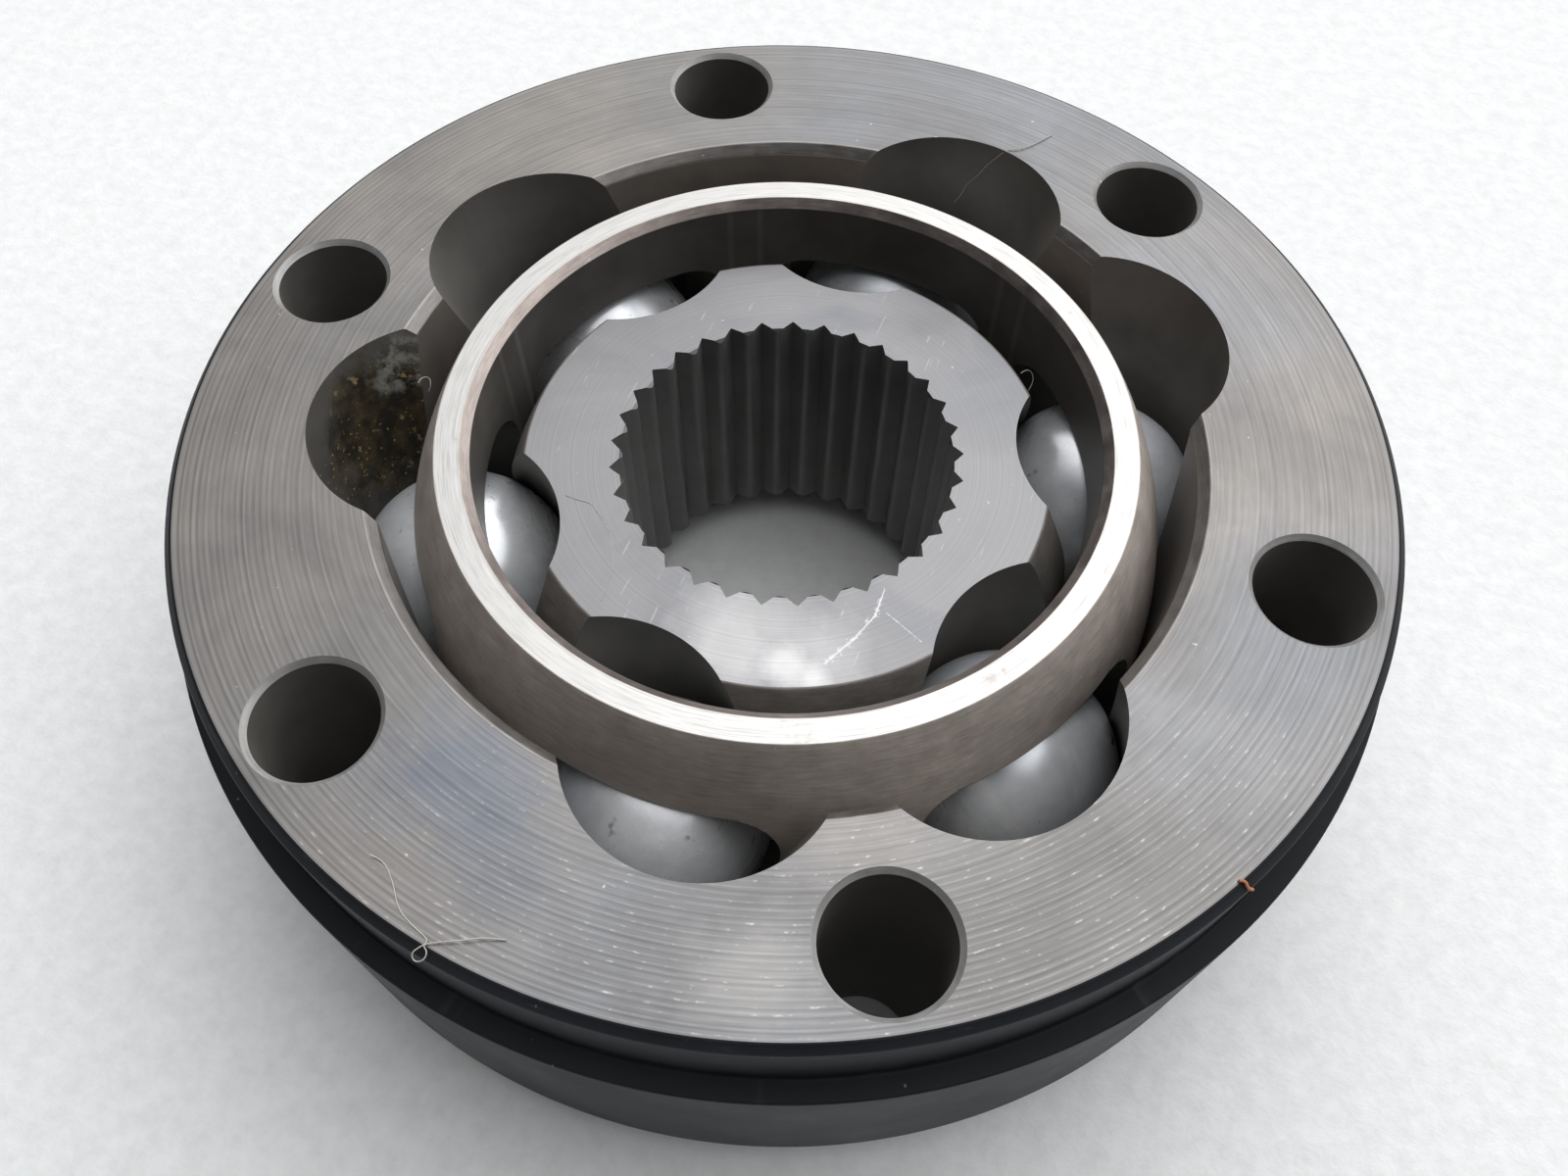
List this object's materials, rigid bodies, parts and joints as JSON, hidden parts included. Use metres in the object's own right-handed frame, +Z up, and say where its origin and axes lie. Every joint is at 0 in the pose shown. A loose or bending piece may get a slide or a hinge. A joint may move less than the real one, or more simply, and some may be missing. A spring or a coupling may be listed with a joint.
{
  "type": "constant-velocity joint",
  "caption": "Plunging cross-groove constant-velocity joint: bolt-through outer race, windowed cage, balls in crossed tracks and a splined inner race.",
  "frame": {"origin": "centre of the mating face under the outer race", "axes": "+Z up along the joint's axis, +X through a bolt hole"},
  "size_m": [0.112, 0.112, 0.037],
  "materials": {
    "outer_race_steel": "oily turned steel",
    "cage_steel": "ground steel",
    "inner_race_steel": "satin steel",
    "ball_steel": "polished steel"
  },
  "bodies": {
    "outer_race": {"outer_race": "outer_race_steel"},
    "cage": {"cage": "cage_steel"},
    "inner_race": {"inner_race": "inner_race_steel"},
    "ball_1": {"ball_1": "ball_steel"},
    "ball_2": {"ball_2": "ball_steel"},
    "ball_3": {"ball_3": "ball_steel"},
    "ball_4": {"ball_4": "ball_steel"},
    "ball_5": {"ball_5": "ball_steel"},
    "ball_6": {"ball_6": "ball_steel"}
  },
  "joints": [
    {"name": "inner_race_tilt", "type": "hinge", "parent": "outer_race", "child": "inner_race", "pos_m": [0, 0, 0.0185], "axis": [1, 0, 0], "range_deg": [-20, 20]},
    {"name": "cage_tilt", "type": "hinge", "parent": "outer_race", "child": "cage", "pos_m": [0, 0, 0.0185], "axis": [1, 0, 0], "range_deg": [-10, 10]},
    {"name": "ball_1_roll", "type": "slide", "parent": "outer_race", "child": "ball_1", "axis": [-0.1378, 0.2387, 0.9613], "range_m": [-0.00292, 0.00292]},
    {"name": "ball_2_roll", "type": "slide", "parent": "outer_race", "child": "ball_2", "axis": [0.2756, 0, 0.9613], "range_m": [-0.00583, 0.00583]},
    {"name": "ball_3_roll", "type": "slide", "parent": "outer_race", "child": "ball_3", "axis": [-0.1378, -0.2387, 0.9613], "range_m": [-0.00292, 0.00292]},
    {"name": "ball_4_roll", "type": "slide", "parent": "outer_race", "child": "ball_4", "axis": [-0.1378, 0.2387, 0.9613], "range_m": [-0.00292, 0.00292]},
    {"name": "ball_5_roll", "type": "slide", "parent": "outer_race", "child": "ball_5", "axis": [0.2756, 0, 0.9613], "range_m": [-0.00583, 0.00583]},
    {"name": "ball_6_roll", "type": "slide", "parent": "outer_race", "child": "ball_6", "axis": [-0.1378, -0.2387, 0.9613], "range_m": [-0.00292, 0.00292]}
  ],
  "couplings": [
    {"joint": "cage_tilt", "follows": "inner_race_tilt", "ratio": 0.5},
    {"joint": "ball_1_roll", "follows": "inner_race_tilt", "m_per_rad": 0.0083531},
    {"joint": "ball_2_roll", "follows": "inner_race_tilt", "m_per_rad": 0.016706},
    {"joint": "ball_3_roll", "follows": "inner_race_tilt", "m_per_rad": 0.0083531},
    {"joint": "ball_4_roll", "follows": "inner_race_tilt", "m_per_rad": -0.0083531},
    {"joint": "ball_5_roll", "follows": "inner_race_tilt", "m_per_rad": -0.016706},
    {"joint": "ball_6_roll", "follows": "inner_race_tilt", "m_per_rad": -0.0083531}
  ]
}
